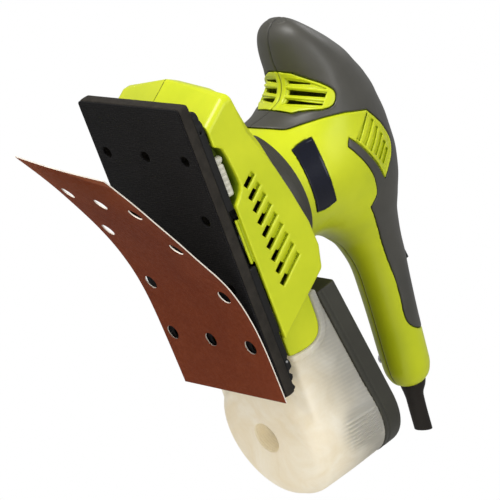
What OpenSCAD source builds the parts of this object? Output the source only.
// Half-sheet orbital sander with its dust canister, its abrasive sheet peeling off the pad.
// The hook face of the pad lies on z = 0 with the pad's centre at the origin. +X is the front (nose),
// -X the handle, cord and canister, +Y the left side, +Z up. Lengths in millimetres.

/* [Pad and sheet] */
// Length of the sanding pad, front to back
pad_l = 185; // [182:1:188]
// Width of the sanding pad
pad_w = 93; // [91:1:94]
// Thickness of the hook facing on the pad
hook_t = 1.2; // [0.8:0.1:1.6]
// Top of the foam cushion above the hook face
cushion_top = 8.0; // [7:0.5:8.5]
// Top of the pad carrier plate above the hook face
carrier_top = 11.5; // [11:0.5:12]
// Thickness of the abrasive sheet
sheet_t = 0.8; // [0.6:0.1:1]
// Where the sheet leaves the pad, measured along X
peel_x = -46; // [-60:1:-40]
// Angle added at each bend of the lifted sheet
peel_step = 5.7; // [4:0.1:6]
// Orbit radius of the pad
orbit_r = 1.2; // [1:0.1:1.4]

/* [Housing] */
// Wall of the moulded housing
wall = 3.0; // [2.6:0.2:3.4]
// Depth of the soft grip overmould
grip_t = 1.4; // [1.2:0.1:1.6]
// Distance of the motor column's axis ahead of the pad centre
column_x = 1.5; // [1:0.5:2]
// Number of exhaust slots on each side of the base cover
vent_count = 9; // [7:1:9]
// Spacing of the exhaust slots
vent_pitch = 7.84; // [7.6:0.02:7.9]

/* [Motor] */
// Radius of the motor shaft
shaft_r = 4.0; // [3.8:0.1:4.2]
// Running clearance of round parts
run = 0.05; // [0.03:0.01:0.08]
// Blades on the cooling and dust fan
fan_blades = 12; // [8:1:14]

/* [Canister] */
// Centre of the round dust pot along X
pot_x = -133; // [-134:1:-132]
// Radius of the dust pot at its rim
pot_r = 43; // [42:0.5:43.5]
// Underside of the dust pot
pot_z = 8; // [7:1:9]
// Radius of the vacuum port in the pot's underside
port_r = 9.5; // [9:0.5:10]

/* [Hidden] */

// Colours used by more than one piece
lime = [0.78, 0.84, 0.16];
grey = [0.27, 0.27, 0.25];
black = [0.1, 0.1, 0.1];
navy = [0.08, 0.09, 0.14];
jaw_black = [0.09, 0.09, 0.09];
bearing_steel = [0.75, 0.76, 0.78];
screw_steel = [0.55, 0.56, 0.58];
plain_metal = [0.6, 0.6, 0.62];
abrasive = [0.42, 0.2, 0.13];

// Sides along Y
left = 1;
right = -1;
// Hairline gap between a part and the seat it fills
hairline = 0.01;

// Levels and radii shared between pieces
badge_t = 0.8;
base_wall = 2.6;
base_foot_z = 15;
bracket_z = 58.6;
stator_r = 31;
stator_bore_r = 18.2;
stator_h = 32;
armature_h = 30;
collar_r = shaft_r + 1;
upper_bearing_r = 11;
upper_bearing_seat_z = 117;
lower_bearing_r = 13;
pad_bearing_r = 11;
pad_axis_x = column_x + orbit_r;

// Upper body along X: x, centre z, half width, height up, height down
upper_stations = [
  [-162.5, 122.5, 3.5, 3.5, 3.5], [-160.8, 122.4, 8.5, 8.5, 8.5],
  [-156, 122.2, 12.4, 12.8, 12.8], [-149, 122.3, 14.2, 14.6, 14.6],
  [-138, 123.0, 14.6, 15, 15], [-118, 124.8, 15, 15.4, 15.4],
  [-95, 127, 16, 16.2, 16.2], [-75, 128.6, 17.2, 17.4, 17.8],
  [-60, 128.6, 20, 18.6, 21.5], [-49, 127, 24, 21.4, 27],
  [-38, 125, 28.5, 27.6, 36], [-25, 122, 32.2, 36.6, 42],
  [-8, 120, 34.8, 42, 42], [8, 120, 35.6, 42, 42],
  [24, 119, 34.6, 41.6, 38], [36, 120, 31.8, 38, 31],
  [44, 122, 30, 32.4, 21], [54, 123, 28, 26.6, 17.5],
  [64, 122, 25.4, 20.6, 17], [74, 119.6, 21.6, 14.8, 14],
  [81, 118.4, 17, 9.6, 11], [85.4, 118, 11, 5.6, 7], [87.6, 118, 4.5, 2.4, 3]];
upper_facets = 26;

// Motor column up Z: z, radius
column_stations = [[67, 39.2], [74, 38.8], [86, 38.5], [98, 38.3], [110, 37.2], [122, 34.5],
  [132, 30]];
column_facets = 30;

// Base cover along X: x at the foot, wall top z, shoulder y, shoulder z, crown z,
// x at the top, narrowing of the wall
base_stations = [
  [-61, 17, 44, 19, 20, -61, 0], [-48, 37, 45.6, 40, 42, -48, 0],
  [-43, 45, 44.5, 50, 54, -43, 0], [-38, 54, 43, 58, 61, -38, 0],
  [-24, 57, 42, 60.5, 62, -24, 0], [0, 57.6, 41, 61, 62, 0, 0],
  [13, 57, 40, 60.5, 62, 13, 0], [30, 50.5, 39, 56.5, 59, 30, 0],
  [46, 43.4, 38.5, 51.5, 56, 46, 0], [60, 36.6, 38, 46, 52, 60, 0],
  [72, 32.6, 35.6, 43, 49, 72, 0], [79.5, 29.4, 33, 39.8, 45.4, 82.5, 0.8],
  [82.5, 28, 29.5, 36.6, 41.6, 89, 4], [84, 26.6, 23, 31.6, 35, 92.6, 12]];

// Outlines seen from the side: x, z
// Soft grip: nose, crown, stripe and handle top
grip_edge = [[60, 60], [46, 60], [41, 70], [38, 76.9], [35.3, 81.2], [34, 84.3], [33.4, 90.6],
  [32.8, 97.6], [31.9, 105.7], [29, 116.8], [22.4, 132.9], [14.8, 138], [5.5, 143.2],
  [-3.2, 146.4], [-7.7, 145], [-11, 142.4], [-15.2, 137.4], [-20.9, 129.9], [-18, 128.4],
  [-13.4, 127.2], [-7.3, 124.6], [0.4, 120.6], [8.6, 116.4], [16.2, 111.3], [11.9, 107.8],
  [5.5, 111.3], [-3.1, 115.8], [-11.1, 119.2], [-18, 120.9], [-26, 121], [-28.6, 118.8],
  [-32.5, 114.7], [-43.3, 117.8], [-56.4, 121.3], [-79.5, 123.6], [-91, 124], [-102, 123.3],
  [-114.5, 121.7], [-121, 123.6], [-126, 128.6], [-130, 136], [-131, 175], [95, 175], [95, 60]];
grille_edge = [[39.2, 92.6], [38.9, 98.6], [35.4, 108.6], [36.4, 114.5], [41.8, 118.4],
  [47.5, 115.4], [55, 109.2], [59.5, 106.5], [60, 100], [48, 92]];
badge_edge = [[26.6, 75.4], [26.5, 91.3], [-13.4, 88.4], [-11.8, 72.2]];

// Housing screws: x, z, distance of the head seat from the middle
screw_spots = [[-141, 113.4, 7.5], [-65, 122, 11], [58, 116, 16]];

// ---- general helpers
// Solid through rings of equal point count, closed at both ends
module loft(rings) {
  points_each = len(rings[0]);
  ring_count = len(rings);
  polyhedron(
    points = [for (r = rings) each r],
    faces = concat(
      [[for (i = [0:points_each - 1]) i]],
      [[for (i = [points_each - 1:-1:0]) (ring_count - 1) * points_each + i]],
      [for (j = [0:ring_count - 2], i = [0:points_each - 1])
        let (next = (i + 1) % points_each, low = j * points_each, high = low + points_each)
        each [[low + i, high + next, low + next], [low + i, high + i, high + next]]]));
}
// Hole along Z that starts 1 below its origin
module bore(r, h, facets = 48) translate([0, 0, -1]) cylinder(r = r, h = h, $fn = facets);
module ring(outer_r, inner_r, h) difference() {
  cylinder(r = outer_r, h = h, $fn = 72);
  bore(inner_r, h + 2, 72);
}
module bearing(outer_r, inner_r, h) {
  ring(outer_r, outer_r - 2.2, h);
  ring(inner_r + 1.8, inner_r, h);
  translate([0, 0, h / 2 - 1]) ring(outer_r - 2.2, inner_r + 1.8, 2);
}
// The same block on the left and on the right; corner is the left one's lowest
module side_blocks(corner, size) for (side = [left, right])
  translate([corner.x, side == left ? corner.y : -corner.y - size.y, corner.z]) cube(size);
// One side of the middle plane; the zero resize leaves the size as it is
module half(side) resize([0, 0, 0]) intersection() {
  children();
  translate([-250, side == left ? 0 : -90, -50]) cube([400, 90, 300]);
}
module side_prism(edge) rotate([90, 0, 0]) linear_extrude(height = 120, center = true)
  polygon(edge);
function shrink(edge, centre, factor) =
  [for (p = edge) [for (i = [0, 1]) centre[i] + (p[i] - centre[i]) * factor[i]]];
module along_y(x, y, z) translate([x, y, z]) rotate([-90, 0, 0]) children();
module at_motor(z = 0) translate([column_x, 0, z]) children();
module at_pad_axis(z) translate([pad_axis_x, 0, z]) children();

// ---- outer form of the body, inset from its surface
function upper_ring(station, inset) = [for (i = [0:upper_facets - 1])
  let (angle = 360 * i / upper_facets, height = sin(angle) >= 0 ? station[3] : station[4])
  [station[0] + (station[0] < 0 ? inset : -inset) * 0.8,
   (station[2] - inset) * cos(angle),
   station[1] + (height - inset) * sin(angle)]];
function column_ring(station, inset) = [for (i = [0:column_facets - 1])
  let (angle = 360 * i / column_facets, radius = station[1] - inset)
  [column_x + radius * cos(angle), radius * sin(angle), station[0]]];
module body_solid(inset) union() {
  // end stations too small for the inset are left out
  loft([for (s = upper_stations) if (s[2] - inset > 1.5 && s[3] - inset > 1)
    upper_ring(s, inset)]);
  loft([for (s = column_stations) column_ring(s, inset)]);
}
module body_skin(outer_inset, inner_inset) difference() {
  body_solid(outer_inset);
  body_solid(inner_inset);
}

// ---- moulded housing halves with the motor's bearing seats
module housing_hollow() difference() {
  body_solid(wall);
  // web of the upper bearing
  at_motor(upper_bearing_seat_z) cylinder(r = 40, h = 10);
  // rings around the stator
  for (z = [80, 100]) at_motor(z) ring(45, stator_r + 0.05, 4);
  // handle webs
  translate([-103, -20, 100]) cube([3, 40, 50]);
  translate([-71, -25, 100]) cube([3, 50, 60]);
}
// Shallow recess in the skin within a side outline; corner and size bound the cut
module skin_recess(edge, depth, corner, size) intersection() {
  side_prism(edge);
  difference() {
    translate(corner) cube(size);
    body_solid(depth);
  }
}
module switch_opening() translate([-93, -5.2, 128]) cube([24.4, 10.4, 24]);
// Sockets on the right side, one per screw head
module screw_head_sockets(r) for (p = screw_spots)
  translate([p[0], -p[2], p[1]]) rotate([90, 0, 0]) cylinder(r = r, h = 60, $fn = 24);
module housing_body() difference() {
  body_solid(0);
  housing_hollow();
  skin_recess(grip_edge, grip_t, [-170, -60, 50], [270, 120, 130]);
  side_prism(grille_edge);
  skin_recess(badge_edge, badge_t, [-40, -60, 70], [70, 120, 45]);
  // upper bearing seat and shaft passage
  at_motor(upper_bearing_seat_z - 1) cylinder(r = upper_bearing_r + run, h = 9.4, $fn = 48);
  at_motor(100) cylinder(r = 8, h = 30, $fn = 30);
  // cord passage and wire channel
  on_cord_axis(-172) cylinder(r = 4.6, h = 30, $fn = 40);
  translate([-120, -3, 116]) cube([80, 6, 5]);
  switch_opening();
  // screw shanks run across both halves
  for (p = screw_spots) along_y(p[0], -60, p[1]) cylinder(r = 1.9, h = 60 + p[2], $fn = 20);
  screw_head_sockets(3.9);
}
module left_housing() color(lime) half(left) housing_body();
module right_housing() color(lime) half(right) housing_body();

// ---- soft grip in the recess of the housing
module grip_body() difference() {
  intersection() {
    side_prism(grip_edge);
    body_skin(0, grip_t);
  }
  side_prism(grille_edge);
  switch_opening();
  screw_head_sockets(4.1);
  // clear of the neck ring
  translate([-50, -60, 50]) cube([100, 120, 17.1]);
}
module left_grip_cover() color(grey) half(left) grip_body();
module right_grip_cover() color(grey) half(right) grip_body();

// ---- slotted intake grille that wraps the inner corner below the nose
module grille_body() difference() {
  intersection() {
    side_prism(shrink(grille_edge, [47, 105], [0.985, 0.985]));
    body_skin(0.2, wall);
  }
  for (k = [-1:1]) translate([44 + 3 * k, 0, 104 + 3.7 * k]) rotate([0, 38, 0])
    side_blocks([-30, 3.2, -1.1], [60, 26, 2.2]);
}
module left_intake_grille() color(lime) half(left) grille_body();
module right_intake_grille() color(lime) half(right) grille_body();

module badge_body() intersection() {
  side_prism(shrink(badge_edge, [7, 82], [0.985, 0.97]));
  body_skin(0, badge_t);
}
module left_badge() color(navy) half(left) badge_body();
module right_badge() color(navy) half(right) badge_body();

// ---- stepped ring that closes the gap between base cover and motor column
// Section: radius, z
neck_section = [[40.2, 62.3], [42.6, 62.3], [42.6, 63.4], [41.6, 63.8], [41.6, 65], [40.6, 65.4],
  [40.6, 66.4], [39.6, 66.9], [32, 66.9], [32, 64.6], [39.6, 64.6]];
module neck_ring() color(grey) at_motor() difference() {
  rotate_extrude($fn = 96) polygon(neck_section);
  translate([32, -60, 60]) cube([20, 120, 2.5]);
}

// ---- base cover with exhaust slots, clamp window and rear dust outlet
// Section across Y from the left foot over the crown to the right foot: y, z
function base_section(station, inset) = let (
    half_width = pad_w / 2 + 0.4 - inset - station[6],
    wall_z = station[1] - inset,
    shoulder_y = station[2] - inset,
    shoulder_z = station[3] - inset,
    crown_y = station[2] * 0.6,
    crown_z = station[4] - inset)
  [[half_width, base_foot_z], [half_width, wall_z], [shoulder_y, shoulder_z],
   [crown_y, crown_z], [0, crown_z], [-crown_y, crown_z],
   [-shoulder_y, shoulder_z], [-half_width, wall_z], [-half_width, base_foot_z]];
// A station leans from its foot x to its top x over the first 15 of height; the ends are inset too
function base_x(station, z, inset) =
  station[0] + (station[5] - station[0]) * min(1, max(0, (z - base_foot_z) / 15))
  + (station[0] < -50 ? inset : station[0] > 79 ? -inset : 0);
module base_solid(inset) loft([for (s = base_stations)
  [for (p = base_section(s, inset)) [base_x(s, p[1], inset), p[0], p[1]]]]);
module outlet_solid(inset) hull() for (side = [left, right]) {
  front_y = side * (38 - inset);
  rear_y = side * (35 - inset);
  translate([-46, front_y, 24]) sphere(r = 5 - inset, $fn = 24);
  translate([-72 + inset, rear_y, 24]) sphere(r = 7 - inset, $fn = 24);
  translate([-67 + inset, rear_y, 40 - inset]) sphere(r = 7 - inset, $fn = 24);
  translate([-46, front_y, 42 - inset]) sphere(r = 5 - inset, $fn = 24);
}

// Four posts that join the base cover to the pad
post_x = [-41, 41];
post_y = [-30, 30];
post_r = 5.4;
module at_posts(z) for (x = post_x, y = post_y) translate([x, y, z]) children();

module base_hollow() difference() {
  union() {
    base_solid(base_wall);
    // opens the underside
    translate([0, 0, -3]) base_solid(base_wall);
    outlet_solid(2.4);
  }
  // deck under the motor
  at_motor(55.6) cylinder(r = 60, h = 3);
  // foot rail of the outlet
  translate([-82, -60, 10]) cube([30, 120, 8.6]);
  // screw posts
  at_posts(24) cylinder(r = post_r, h = 60, $fn = 30);
}
module exhaust_slots() for (i = [0:vent_count - 1], side = [left, right])
  translate([31.6 - i * vent_pitch, side * 46, 24.8]) rotate([0, 31, 0])
    translate([-1.7, -6, 0]) cube([3.4, 12, 7.4]);
module base_body() difference() {
  union() {
    // narrow rail under the skirt, left and right
    side_blocks([-10.8, 43.7, 11.6], [28, 1.5, 4.8]);
    difference() {
      union() {
        base_solid(0);
        outlet_solid(0);
      }
      base_hollow();
    }
  }
  // motor opening and bracket seat
  at_motor(50) cylinder(r = 30, h = 30, $fn = 72);
  at_motor(bracket_z) cylinder(r = 40, h = 20, $fn = 72);
  exhaust_slots();
  // window for the clamp lever, on the left
  translate([25.2, 36, 12]) cube([35.3, 20, 9.8]);
  // dust outlet mouth
  translate([-90, -20, 26]) cube([30, 40, 12]);
  // screw sockets
  at_posts(20) cylinder(r = 1.5, h = 16, $fn = 24);
  // everything below the foot
  translate([-200, -60, base_foot_z - 35]) cube([400, 120, 35]);
}
module left_base_cover() color(lime) half(left) base_body();
module right_base_cover() color(lime) half(right) base_body();
module fan_baffle() color([0.12, 0.12, 0.12]) at_motor(41.6) difference() {
  union() {
    cylinder(r = 35, h = 1.6, $fn = 72);
    ring(35, 32.6, 12.6);
  }
  bore(20, 4, 64);
  // opening towards the dust outlet
  translate([-50, -14, 4]) cube([30, 28, 7]);
}

// ---- motor, fixed parts
module stator_core() color([0.5, 0.5, 0.52]) at_motor(76) difference() {
  cylinder(r = stator_r, h = stator_h, $fn = 72);
  bore(stator_bore_r, stator_h + 2, 72);
  side_blocks([-9, 18, -1], [18, 8, stator_h + 2]);
}
// Ends of the field coils: z, height
coil_ends = [[68.4, 7], [108.4, 6]];
module field_coils() color([0.72, 0.38, 0.16])
  for (coil = coil_ends, x = [4, -34]) at_motor(coil[0]) intersection() {
    ring(27, 19.4, coil[1]);
    translate([x, -40, -1]) cube([30, 80, 12]);
  }
module bearing_bracket() color([0.62, 0.62, 0.64]) at_motor(bracket_z) difference() {
  union() {
    cylinder(r = 39.5, h = 3.4, $fn = 72);
    cylinder(r = 15.6, h = 8.2, $fn = 72);
    ring(31.5, 28, 7.4);
  }
  translate([0, 0, 1.35]) cylinder(r = lower_bearing_r + hairline, h = 10, $fn = 72);
  bore(9, 5, 60);
  for (i = [0:7]) rotate(45 * i + 22.5) translate([22, 0, 0]) bore(4.6, 6, 32);
}
module upper_bearing() color(bearing_steel)
  at_motor(upper_bearing_seat_z + 0.2) bearing(upper_bearing_r, shaft_r + run, 8);
module lower_bearing() color(bearing_steel)
  at_motor(60) bearing(lower_bearing_r, collar_r + run, 7.4);
module brush_holders() color([0.78, 0.66, 0.3]) at_motor(108.6) difference() {
  side_blocks([-4, 11, 0], [8, 18, 8.35]);
  side_blocks([-2.8, 10, 1.2], [5.6, 20, 4.6]);
}
module carbon_brushes() color([0.16, 0.16, 0.17]) at_motor(109.9)
  side_blocks([-2.7, 9.7, 0], [5.4, 10, 4.4]);
// Each spring is a row of four separate rings
module brush_springs() color([0.7, 0.7, 0.72]) at_motor(112.1)
  for (side = [left, right], k = [0:3])
    translate([0, side * (20.6 + 2.1 * k), 0]) rotate([90, 0, 0])
      rotate_extrude($fn = 24) translate([1.6, 0]) circle(r = 0.4, $fn = 16);

// ---- motor, turning parts
module motor_shaft() color([0.7, 0.72, 0.74]) {
  at_motor(30) cylinder(r = shaft_r, h = 95, $fn = 48);
  at_motor(56) cylinder(r = collar_r, h = 11.4, $fn = 48);
}
module armature_core() color([0.55, 0.55, 0.58]) at_motor(77) difference() {
  cylinder(r = 17.4, h = armature_h, $fn = 72);
  bore(shaft_r + hairline, armature_h + 2);
  for (i = [0:11]) rotate(30 * i) translate([15, -1, -1]) cube([4, 2, armature_h + 2]);
}
// Ends of the windings: z, section as radius and height
winding_ends = [
  [70.4, [[6, 0], [12, 0], [15, 3], [15, 6.6], [6, 6.6]]],
  [107, [[6, 0], [14.5, 0], [10.6, 1.6], [6, 1.6]]]];
module armature_windings() color([0.74, 0.4, 0.16])
  for (winding = winding_ends) at_motor(winding[0]) difference() {
    rotate_extrude($fn = 60) polygon(winding[1]);
    bore(6, 20);
  }
module commutator() color([0.72, 0.45, 0.2]) at_motor(108.7) difference() {
  cylinder(r = 9.5, h = 7, $fn = 60);
  bore(shaft_r + hairline, 9);
  for (i = [0:17]) rotate(20 * i) translate([8.6, -0.3, -1]) cube([2, 0.6, 9]);
}
module fan() color([0.14, 0.14, 0.15]) at_motor(43.6) difference() {
  union() {
    translate([0, 0, 10.2]) cylinder(r = 32, h = 1.6, $fn = 72);
    cylinder(r = 8.4, h = 11, $fn = 48);
    for (i = [0:fan_blades - 1]) rotate(360 / fan_blades * i + 18)
      translate([10, -0.8, 0.4]) cube([21, 1.6, 10]);
  }
  bore(shaft_r + hairline, 14);
}
// Eccentric hub keyed on the shaft, with the pin that drives the pad
module counterweight() color(plain_metal) {
  difference() {
    at_motor(24.6) union() {
      cylinder(r = 9.6, h = 19, $fn = 56);
      intersection() {
        cylinder(r = 25, h = 10, $fn = 72);
        translate([-30, -22, 0]) cube([26, 44, 10]);
      }
    }
    at_motor(29.9) cylinder(r = shaft_r + hairline, h = 20, $fn = 48);
  }
  at_pad_axis(13) cylinder(r = shaft_r, h = 11.8, $fn = 48);
}

// ---- handle contents
cord_r = 3.2;
cord_z = 120;
// Where the cord, leaving the handle, starts to lean down
cord_bend_x = -168;
module on_cord_axis(x, z = cord_z) translate([x, 0, z]) rotate([0, 90, 0]) children();
module cord_lean() translate([cord_bend_x, 0, cord_z]) rotate([0, -95.2, 0]) children();

module switch_body() color(black) translate([-92, -5, 128]) difference() {
  cube([22, 10, 13]);
  translate([1.2, 1.2, 7]) cube([20.2, 7.6, 8]);
}
module switch_rocker() color([0.07, 0.07, 0.07]) translate([-81, 0, 138.4]) difference() {
  union() {
    rotate([90, 0, 0]) cylinder(r = 3, h = 7, center = true, $fn = 40);
    translate([-8.2, -3.5, 1.2]) rotate([0, 8, 0]) cube([16.2, 7, 8.6]);
  }
  // flat top
  translate([-12, -5, 10.4]) cube([24, 10, 6]);
}
module capacitor() color([0.85, 0.72, 0.2]) translate([-62, -6, 118]) cube([14, 12, 9]);
module wire_clamp() color([0.15, 0.15, 0.15]) difference() {
  translate([-136, -7, 114.4]) cube([8, 14, 11]);
  on_cord_axis(-137) cylinder(r = cord_r + 0.05, h = 10, $fn = 40);
}
module cord_guard() color([0.1, 0.09, 0.09]) difference() {
  union() {
    on_cord_axis(-164) cylinder(r = 4.4, h = 15, $fn = 48);
    // flare against the handle end
    hull() {
      on_cord_axis(-163.7, 122) cylinder(r = 8, h = 1, $fn = 32);
      on_cord_axis(-171, 119.8) cylinder(r = 5.4, h = 1, $fn = 32);
    }
    cord_lean() cylinder(r = 5.4, h = 24, $fn = 48);
  }
  on_cord_axis(-169) cylinder(r = cord_r + 0.1, h = 24, $fn = 40);
  cord_lean() translate([0, 0, -2]) cylinder(r = cord_r + 0.1, h = 30, $fn = 40);
}
module power_cord() color([0.06, 0.06, 0.06]) union() {
  on_cord_axis(cord_bend_x) cylinder(r = cord_r, h = 49.5, $fn = 40);
  translate([cord_bend_x, 0, cord_z]) sphere(r = cord_r, $fn = 40);
  cord_lean() cylinder(r = cord_r, h = 24.4, $fn = 40);
}

// ---- screws and posts
module housing_screws() color(screw_steel) for (p = screw_spots) along_y(p[0], 0, p[1]) {
  translate([0, 0, -p[2] - 0.1]) cylinder(r = 1.8, h = 2 * p[2] - 0.3, $fn = 24);
  translate([0, 0, -p[2] - 1.85]) cylinder(r = 3.6, h = 1.8, $fn = 32);
}
module base_screws() color(screw_steel) {
  at_posts(20.6) cylinder(r = 4, h = 1.6, $fn = 32);
  at_posts(22) cylinder(r = 1.45, h = 13, $fn = 24);
}
// Elastic posts that carry the pad and let it orbit
module isolator_posts() color(black) difference() {
  at_posts(9.8) cylinder(r = post_r, h = 14.2, $fn = 40);
  at_posts(20.5) cylinder(r = 4.05, h = 1.75, $fn = 40);
  at_posts(20) cylinder(r = 1.5, h = 10, $fn = 24);
}

// ---- orbiting pad
dust_holes = concat([for (y = [-36, 0, 36], x = [-60, 60]) [x, y]],
  [for (x = [-22, 22], y = [-34, 34]) [x, y]]);
pad_screw_spots = concat([for (x = [-6, 24], y = [-24, 24]) [x, y]],
  [for (x = [-68, 68], y = [-42, 42]) [x, y]]);
// Distance of the clamp jaws' pivots from the pad centre, and their height
jaw_x = pad_l / 2 - 19;
jaw_z = 10.2;

module at_pad_screws(z = 0) for (p = pad_screw_spots) translate([p.x, p.y, z]) children();
module dust_bores(r = 4.6, z = 0, h = 20, facets = 32) for (p = dust_holes)
  translate([p.x, p.y, z]) cylinder(r = r, h = h, $fn = facets);
corner_r = 2.5;
module pad_plan(h) linear_extrude(height = h) hull() for (x = [-1, 1], y = [-1, 1])
  translate([x * (pad_l / 2 - corner_r), y * (pad_w / 2 - corner_r)])
    circle(r = corner_r, $fn = 32);

// Plate with its upper face cut down around the jaws, the rear end and the middle of the sides
module carrier_plate() translate([0, 0, cushion_top]) difference() {
  floor_t = 0.7;
  translate([-pad_l / 2 + 0.5, -pad_w / 2 + 0.5, 0])
    cube([pad_l - 1, pad_w - 1, carrier_top - cushion_top]);
  translate([jaw_x - 2, -38, floor_t]) cube([18, 76, 6]);
  translate([-jaw_x - 9.5, -38, floor_t]) cube([11.5, 76, 6]);
  translate([-pad_l / 2 - 1, -pad_w / 2 - 1, floor_t]) cube([10.7, pad_w + 2, 6]);
  side_blocks([-12, 41.8, floor_t], [36, 10, 6]);
}
module pad_carrier() color(black) difference() {
  union() {
    carrier_plate();
    // bearing hub and post cups
    at_pad_axis(cushion_top) cylinder(r = 15, h = 14.6, $fn = 60);
    at_posts(cushion_top) cylinder(r = 10.4, h = 5.0, $fn = 40);
  }
  dust_bores();
  at_pad_axis(12.6) cylinder(r = pad_bearing_r + hairline, h = 7.5, $fn = 60);
  at_pad_axis(12.6) cylinder(r = 9, h = 20, $fn = 60);
  at_pad_axis(20) cylinder(r = 12, h = 5, $fn = 60);
  at_posts(cushion_top + 1.4) cylinder(r = 8.4, h = 12, $fn = 40);
  // seats of the clamp pins and the pad screws
  for (end = [-1, 1]) along_y(end * jaw_x, -47, jaw_z) cylinder(r = 0.76, h = 94, $fn = 24);
  at_pad_screws() cylinder(r = 1.5, h = 20, $fn = 20);
}
module pad_cushion() color([0.12, 0.11, 0.1]) difference() {
  translate([0, 0, hook_t]) pad_plan(cushion_top - hook_t);
  dust_bores();
  at_pad_screws() cylinder(r = 3.3, h = 20, $fn = 24);
}
module hook_facing() color([0.11, 0.11, 0.11]) difference() {
  pad_plan(hook_t);
  dust_bores(r = 3.4, z = -1, h = 5);
}
module pad_bearing() color(bearing_steel)
  at_pad_axis(12.7) bearing(pad_bearing_r, shaft_r + run, 7);
module pad_screws() color(plain_metal) {
  at_pad_screws(6.4) cylinder(r = 3, h = 1.6, $fn = 24);
  at_pad_screws(7) cylinder(r = 1.45, h = 4.2, $fn = 20);
}

// ---- toothed jaws that can hold a plain paper sheet at either end
// Hinged plate with three knuckles; end is 1 at the front, -1 at the rear
module jaw(end) difference() {
  union() {
    for (y = [-36, -6, 24]) along_y(end * jaw_x, y, jaw_z) cylinder(r = 1.3, h = 12, $fn = 32);
    translate([end > 0 ? jaw_x : -jaw_x - 15, -37, 10.3]) cube([15, 74, 1.2]);
    children();
  }
  along_y(end * jaw_x, -40, jaw_z) cylinder(r = 0.8, h = 80, $fn = 24);
}
module jaw_teeth(corner, size, count) for (k = [0:count - 1])
  translate([corner.x, corner.y + 6 * k, corner.z]) cube(size);
module front_clamp_jaw() color(jaw_black) jaw(1)
  jaw_teeth([jaw_x + 13.6, -35, 9.2], [1.4, 3.6, 1.6], 12);
module rear_clamp_jaw() color(jaw_black) jaw(-1) {
  translate([-jaw_x - 18.4, -44.2, 10.3]) cube([8, 88.4, 1.2]);
  jaw_teeth([-jaw_x - 18.4, -43.8, 9.2], [4.8, 3.6, 2.3], 15);
}
module clamp_pins() color([0.75, 0.75, 0.76]) {
  along_y(jaw_x, -44, jaw_z) cylinder(r = 0.75, h = 88, $fn = 24);
  along_y(-jaw_x, -45.7, jaw_z) cylinder(r = 0.75, h = 91.4, $fn = 24);
}
// Ribbed release lever in the left window
lever_z = 13.2;
lever_h = 5.6;
module at_lever_pivot(z) translate([53, 42.2, z]) children();
module clamp_lever() color([0.82, 0.81, 0.75]) difference() {
  union() {
    translate([30.4, 40.2, lever_z]) cube([21.6, 3.6, lever_h]);
    for (k = [0:5]) translate([31.2 + 3.5 * k, 43.7, lever_z]) cube([2.2, 1.8, lever_h]);
    at_lever_pivot(lever_z) cylinder(r = 2.1, h = lever_h, $fn = 32);
  }
  at_lever_pivot(10) cylinder(r = 1.05, h = 20, $fn = 24);
}
module lever_pin() color([0.8, 0.8, 0.8]) at_lever_pivot(carrier_top) union() {
  cylinder(r = 1, h = 7.8, $fn = 24);
  cylinder(r = 2.2, h = 1.6, $fn = 32);
  translate([0, 0, 7.4]) cylinder(r = 1.9, h = 0.7, $fn = 32);
}

// ---- abrasive sheet: the rear is on the pad, the rest hangs off it in a curve
bend_len = 14;
sheet_z = -0.1 - sheet_t / 2;
sheet_end_x = pad_l / 2 + 1.2;
// Gap left at each end of a strip
strip_gap = 0.12;
// x and z of the end of strip k
function peel_pos(k) = k <= 0 ? [peel_x, sheet_z] :
  let (start = peel_pos(k - 1), angle = peel_step * k)
  [start[0] + bend_len * cos(angle), start[1] - bend_len * sin(angle)];
// Strip between two places on the flat sheet
module sheet_strip(x0, x1) difference() {
  translate([x0 + strip_gap, -pad_w / 2, -sheet_t / 2])
    cube([x1 - x0 - 2 * strip_gap, pad_w, sheet_t]);
  dust_bores(z = -5, h = 10, facets = 28);
}
// Strip k of the lifted sheet, tilted by k bends, up to x1 on the flat sheet
module lifted_strip(k, x1 = undef) {
  x0 = peel_x + (k - 1) * bend_len;
  start = peel_pos(k - 1);
  color(abrasive) translate([start[0], 0, start[1]]) rotate([0, peel_step * k, 0])
    translate([-x0, 0, 0]) sheet_strip(x0, x1 == undef ? x0 + bend_len : x1);
}
module sheet_rear() color(abrasive) translate([0, 0, sheet_z]) sheet_strip(-sheet_end_x, peel_x);
module sheet_bend_a() lifted_strip(1);
module sheet_bend_b() lifted_strip(2);
module sheet_bend_c() lifted_strip(3);
module sheet_bend_d() lifted_strip(4);
module sheet_flap() lifted_strip(5, sheet_end_x);

// ---- dust canister
// The lid plane rises to the rear from its height at lid_x
lid_rise = 0.15;
lid_x = -78;
lid_front_z = 51;
port_wall = 2.5;
pleat_z = 34;
function lid_z(x) = lid_front_z + lid_rise * (lid_x - x);
module below_lid(z) translate([lid_x, 0, lid_front_z + z]) rotate([0, atan(lid_rise), 0])
  translate([-150, -70, -100]) cube([260, 140, 100]);
module at_port(z) translate([pot_x + 1, 0, pot_z + z]) children();

module pot_plan(inset) union() {
  side_y = pot_r - inset;
  front_x = -48 - inset;
  translate([pot_x, 0]) circle(r = side_y, $fn = 72);
  polygon([[pot_x, side_y], [-62, 43.4 - inset], [front_x, 43 - inset],
    [front_x, -43 + inset], [-62, -43.4 + inset], [pot_x, -side_y]]);
}
module pot_outer(inset) union() {
  // upper box that wraps the outlet
  intersection() {
    translate([0, 0, 16.6 + inset]) linear_extrude(height = 60) pot_plan(inset);
    below_lid(0);
  }
  // round pot, narrower at its foot
  translate([pot_x, 0, pot_z]) rotate_extrude($fn = 72) polygon([[0, inset],
    [35 - inset * 0.4, inset], [38 - inset, 3 + inset * 0.6], [41.4 - inset, 14],
    [pot_r - inset, 30], [pot_r - inset, 34], [0, 34]]);
}
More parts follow.
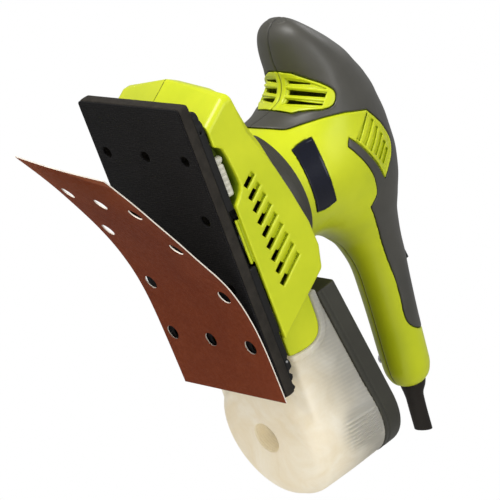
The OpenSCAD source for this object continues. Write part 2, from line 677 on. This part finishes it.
// Corners of the mouth that slides over the base cover's outlet: x, y on the left, z
mouth_corners = [[-95, 34.6, 24], [-40, 37.6, 24], [-90, 34.6, 41], [-40, 37.6, 43]];
module pot_shell() difference() {
  pot_outer(0);
  intersection() {
    pot_outer(2.2);
    union() {
      below_lid(0.5);
      translate([pot_x, 0, 0]) cylinder(r = 60, h = 50);
    }
  }
  hull() for (side = [left, right], p = mouth_corners)
    translate([p.x, side * p.y, p.z]) sphere(r = 7.8, $fn = 24);
  translate([-92, -60, 10]) cube([60, 120, 8.8]);
  translate([-82.5, -60, 10]) cube([50, 120, 36]);
}
module dust_pot() color([0.93, 0.91, 0.84, 0.75]) difference() {
  union() {
    pot_shell();
    at_port(1) cylinder(r = port_r + port_wall, h = 11, $fn = 64);
  }
  at_port(-2) cylinder(r = port_r, h = 20, $fn = 64);
}
module pot_seal() color(black) at_port(12.01) ring(port_r + port_wall, port_r + 0.6, 1.6);

// Slab of the pot's plan between two heights above the lid plane
module lid_slab(inset, bottom, top) intersection() {
  linear_extrude(height = 120) pot_plan(inset);
  difference() {
    below_lid(top);
    below_lid(bottom);
  }
}
module pot_lid() color(grey) difference() {
  intersection() {
    translate([-200, -60, 30]) cube([148.2, 120, 60]);
    union() {
      lid_slab(-1.6, 0.15, 13);
      lid_slab(0.6, 5, 15.4);
    }
  }
  intersection() {
    linear_extrude(height = 120) pot_plan(3);
    below_lid(11);
  }
}
module filter_frame() color([0.2, 0.2, 0.2]) difference() {
  intersection() {
    translate([pot_x, 0, 0]) cylinder(r = pot_r - 4.4, h = 120, $fn = 72);
    difference() {
      below_lid(2.6);
      below_lid(0.4);
    }
  }
  translate([-154, -26, 20]) cube([48, 52, 60]);
}
module filter_pleats() color([0.85, 0.84, 0.8]) for (k = [0:11]) {
  x = -152.6 + 4 * k;
  translate([x, -26, pleat_z]) cube([2, 52, lid_z(x) - pleat_z + 0.2]);
}

left_housing();
right_housing();
left_grip_cover();
right_grip_cover();
left_intake_grille();
right_intake_grille();
left_badge();
right_badge();
neck_ring();
left_base_cover();
right_base_cover();
fan_baffle();
stator_core();
field_coils();
upper_bearing();
bearing_bracket();
lower_bearing();
brush_holders();
carbon_brushes();
brush_springs();
switch_body();
switch_rocker();
capacitor();
wire_clamp();
cord_guard();
power_cord();
housing_screws();
base_screws();
isolator_posts();
motor_shaft();
armature_core();
armature_windings();
commutator();
fan();
counterweight();
pad_carrier();
pad_cushion();
hook_facing();
pad_bearing();
pad_screws();
front_clamp_jaw();
rear_clamp_jaw();
clamp_pins();
clamp_lever();
lever_pin();
sheet_rear();
sheet_bend_a();
sheet_bend_b();
sheet_bend_c();
sheet_bend_d();
sheet_flap();
dust_pot();
pot_seal();
pot_lid();
filter_frame();
filter_pleats();
